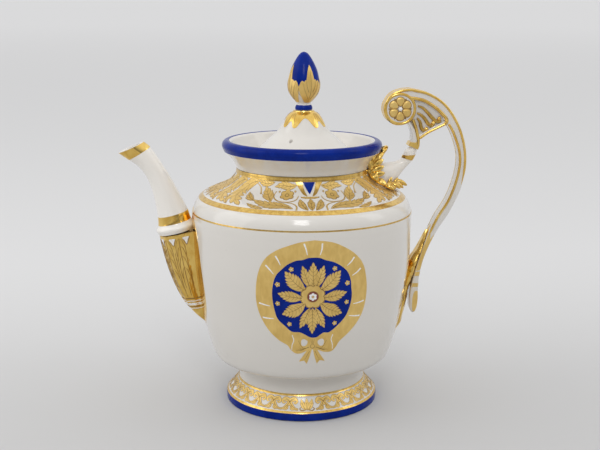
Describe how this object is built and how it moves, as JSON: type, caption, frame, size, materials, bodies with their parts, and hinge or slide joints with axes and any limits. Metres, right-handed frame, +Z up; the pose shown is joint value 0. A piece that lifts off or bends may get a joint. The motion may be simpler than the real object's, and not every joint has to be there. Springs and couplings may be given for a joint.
{
  "type": "porcelain teapot",
  "caption": "Footed porcelain teapot with bent spout, scroll handle, flared collar and lift-off lid with bud knob, in white, cobalt and gold.",
  "frame": {"origin": "on the table, under the middle of the whole teapot's bounding box; the pot itself is turned about the vertical line at x = 5.25 mm", "axes": "+Z up, spout towards -X, handle towards +X"},
  "size_m": [0.2152, 0.1372, 0.22],
  "materials": {
    "porcelain": "clear glossy glaze over white porcelain",
    "cobalt_glaze": "deep glossy cobalt under clear glaze",
    "gilding": "burnished gold leaf, brushed on and fired over porcelain"
  },
  "bodies": {
    "pot": {"body": "porcelain", "foot": "porcelain", "neck_collar": "porcelain", "spout": "porcelain", "spout_socket": "gilding", "handle_loop": "porcelain", "handle_arm": "porcelain", "rosette_front": "gilding", "rosette_back": "gilding", "handle_foot_leaf": "gilding", "rim_leaf": "gilding", "shoulder_leaf_front": "gilding", "shoulder_leaf_back": "gilding", "shoulder_leaf_outer": "gilding"},
    "lid": {"lid": "porcelain", "lid_knob": "cobalt_glaze"}
  },
  "joints": [
    {"name": "lid_lift", "type": "slide", "parent": "pot", "child": "lid", "axis": [0, 0, 1], "range_m": [0, 0.08]}
  ]
}
